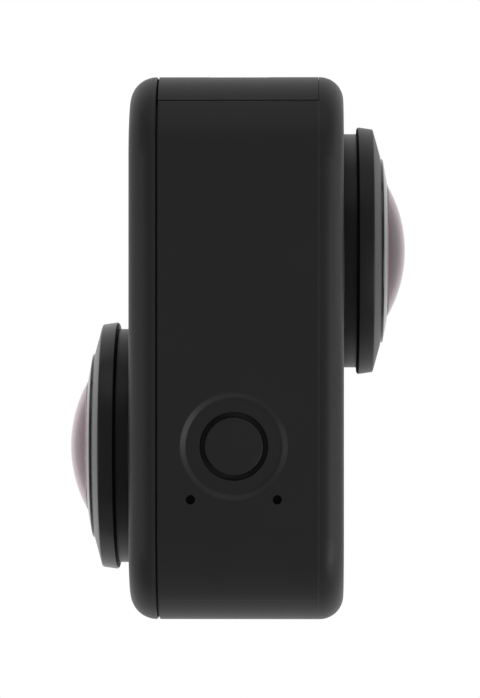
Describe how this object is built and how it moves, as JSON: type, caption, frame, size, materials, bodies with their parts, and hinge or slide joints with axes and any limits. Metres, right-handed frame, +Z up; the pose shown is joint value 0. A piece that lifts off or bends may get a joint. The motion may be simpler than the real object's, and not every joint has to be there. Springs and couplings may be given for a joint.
{
  "type": "360 degree camera",
  "caption": "Pocket camera with a domed wide lens on each large face, a top shutter button, a latched side door over its battery, a rear touch screen and folding mounting fingers.",
  "frame": {"origin": "middle of the face that the camera stands on, midway between the two lens domes", "axes": "+Z up towards the shutter button, -Y along the front lens's view, +X towards the battery door"},
  "size_m": [0.064, 0.0404, 0.069],
  "materials": {
    "soft_touch_black": "soft-touch, near black",
    "latch_grey": "fine texture",
    "ribbed_rubber": "ribbed, matt",
    "seal_rubber": "matt",
    "steel": "satin",
    "lens_black": "anodised black, satin",
    "gloss_black": "polished",
    "lens_glass": "coated, polished",
    "barrel_black": "matt",
    "sensor_dark": "polished",
    "board_green": "solder mask",
    "flex_amber": "polyimide film",
    "screen_glass": "polished",
    "display_dark": "dark panel",
    "part_black": "matt",
    "microphone_metal": "plated",
    "contact_gold": "plated",
    "battery_wrap": "film wrap",
    "pull_tab_cloth": "woven tape",
    "spreader_metal": "rolled",
    "lamp_clear": "frosted",
    "finger_metal": "black coating"
  },
  "bodies": {
    "casing": {"battery": "battery_wrap", "battery_bay": "barrel_black", "battery_contacts": "contact_gold", "battery_pull_tab": "pull_tab_cloth", "card_socket": "steel", "case_screws": "steel", "cover_gasket": "seal_rubber", "display_flex": "flex_amber", "display_panel": "display_dark", "finger_pins": "steel", "finger_tray": "barrel_black", "front_frame": "soft_touch_black", "front_inner_lenses": "lens_glass", "front_lens_barrel": "barrel_black", "front_lens_bezel": "gloss_black", "front_lens_dome": "lens_glass", "front_lens_neck": "lens_black", "front_lens_ring": "lens_black", "front_panel": "ribbed_rubber", "front_second_lens": "lens_glass", "heat_spreader": "spreader_metal", "hinge_pin": "steel", "image_sensors": "sensor_dark", "lens_seals": "seal_rubber", "main_board": "board_green", "main_housing": "soft_touch_black", "microphones": "microphone_metal", "mode_board": "board_green", "mode_seal": "seal_rubber", "mode_switch": "part_black", "port_board": "board_green", "processor_shield": "steel", "rear_cover": "soft_touch_black", "rear_inner_lenses": "lens_glass", "rear_lens_barrel": "barrel_black", "rear_lens_bezel": "gloss_black", "rear_lens_dome": "lens_glass", "rear_lens_neck": "lens_black", "rear_lens_ring": "lens_black", "rear_second_lens": "lens_glass", "screen_seal": "seal_rubber", "sensor_boards": "board_green", "sensor_flexes": "flex_amber", "shutter_board": "board_green", "shutter_seal": "seal_rubber", "shutter_switch": "part_black", "speaker": "part_black", "status_lamps": "lamp_clear", "touch_glass": "screen_glass", "usb_port": "steel", "wireless_aerial": "flex_amber"},
    "shutter_button": {"shutter_button": "soft_touch_black"},
    "mode_button": {"mode_button": "soft_touch_black"},
    "side_door": {"side_door": "soft_touch_black", "door_seal": "seal_rubber", "latch_spring": "steel"},
    "door_latch": {"door_latch": "latch_grey"},
    "right_finger": {"right_finger": "finger_metal"},
    "left_finger": {"left_finger": "finger_metal"},
    "memory_card": {"memory_card": "part_black"}
  },
  "joints": [
    {"name": "shutter_press", "type": "slide", "parent": "casing", "child": "shutter_button", "axis": [0, 0, -1], "range_m": [0, 0.0005], "stiffness_N_per_m": 1500},
    {"name": "mode_press", "type": "slide", "parent": "casing", "child": "mode_button", "axis": [1, 0, 0], "range_m": [0, 0.0004], "stiffness_N_per_m": 1500},
    {"name": "door_hinge", "type": "hinge", "parent": "casing", "child": "side_door", "pos_m": [0.02855, -0.00033, 0.0045], "axis": [0, 1, 0], "range_deg": [0, 90]},
    {"name": "latch_slide", "type": "slide", "parent": "side_door", "child": "door_latch", "axis": [0, 0, -1], "range_m": [0, 0.0016], "stiffness_N_per_m": 500, "deforming": ["latch_spring"]},
    {"name": "right_finger_fold", "type": "hinge", "parent": "casing", "child": "right_finger", "pos_m": [0.00305, -0.00033, 0.0016], "axis": [0, 1, 0], "range_deg": [0, 90]},
    {"name": "left_finger_fold", "type": "hinge", "parent": "casing", "child": "left_finger", "pos_m": [-0.00305, -0.00033, 0.0016], "axis": [0, -1, 0], "range_deg": [0, 90]},
    {"name": "card_push", "type": "slide", "parent": "casing", "child": "memory_card", "axis": [-1, 0, 0], "range_m": [0, 0.0007], "stiffness_N_per_m": 500}
  ]
}
